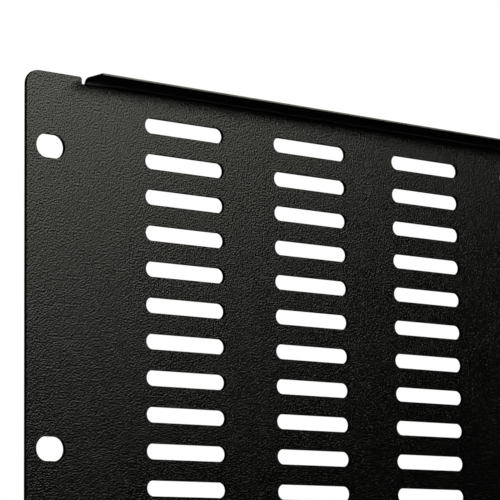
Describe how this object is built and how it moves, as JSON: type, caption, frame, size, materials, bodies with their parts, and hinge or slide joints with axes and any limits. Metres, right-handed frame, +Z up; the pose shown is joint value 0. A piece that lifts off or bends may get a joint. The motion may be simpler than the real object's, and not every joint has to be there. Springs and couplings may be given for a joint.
{
  "type": "vented rack blanking panel",
  "caption": "Vented steel blanking panel that closes an opening in the front of a 19-inch rack while air still passes through its rows of slots.",
  "frame": {"origin": "middle of the four bolt slots, on the rear surface of the sheet, which seats on the rack's front rails", "axes": "+Z up, front face towards -Y, +X to the right as the face is seen from the front, +Y to the rear, out of the seating surface towards the rails"},
  "size_m": [0.4826, 0.0094, 0.1334],
  "materials": {
    "textured_powder_coat": "black powder coat with a fine leathery texture, satin"
  },
  "bodies": {
    "root": {"vented_panel": "textured_powder_coat"}
  },
  "joints": []
}
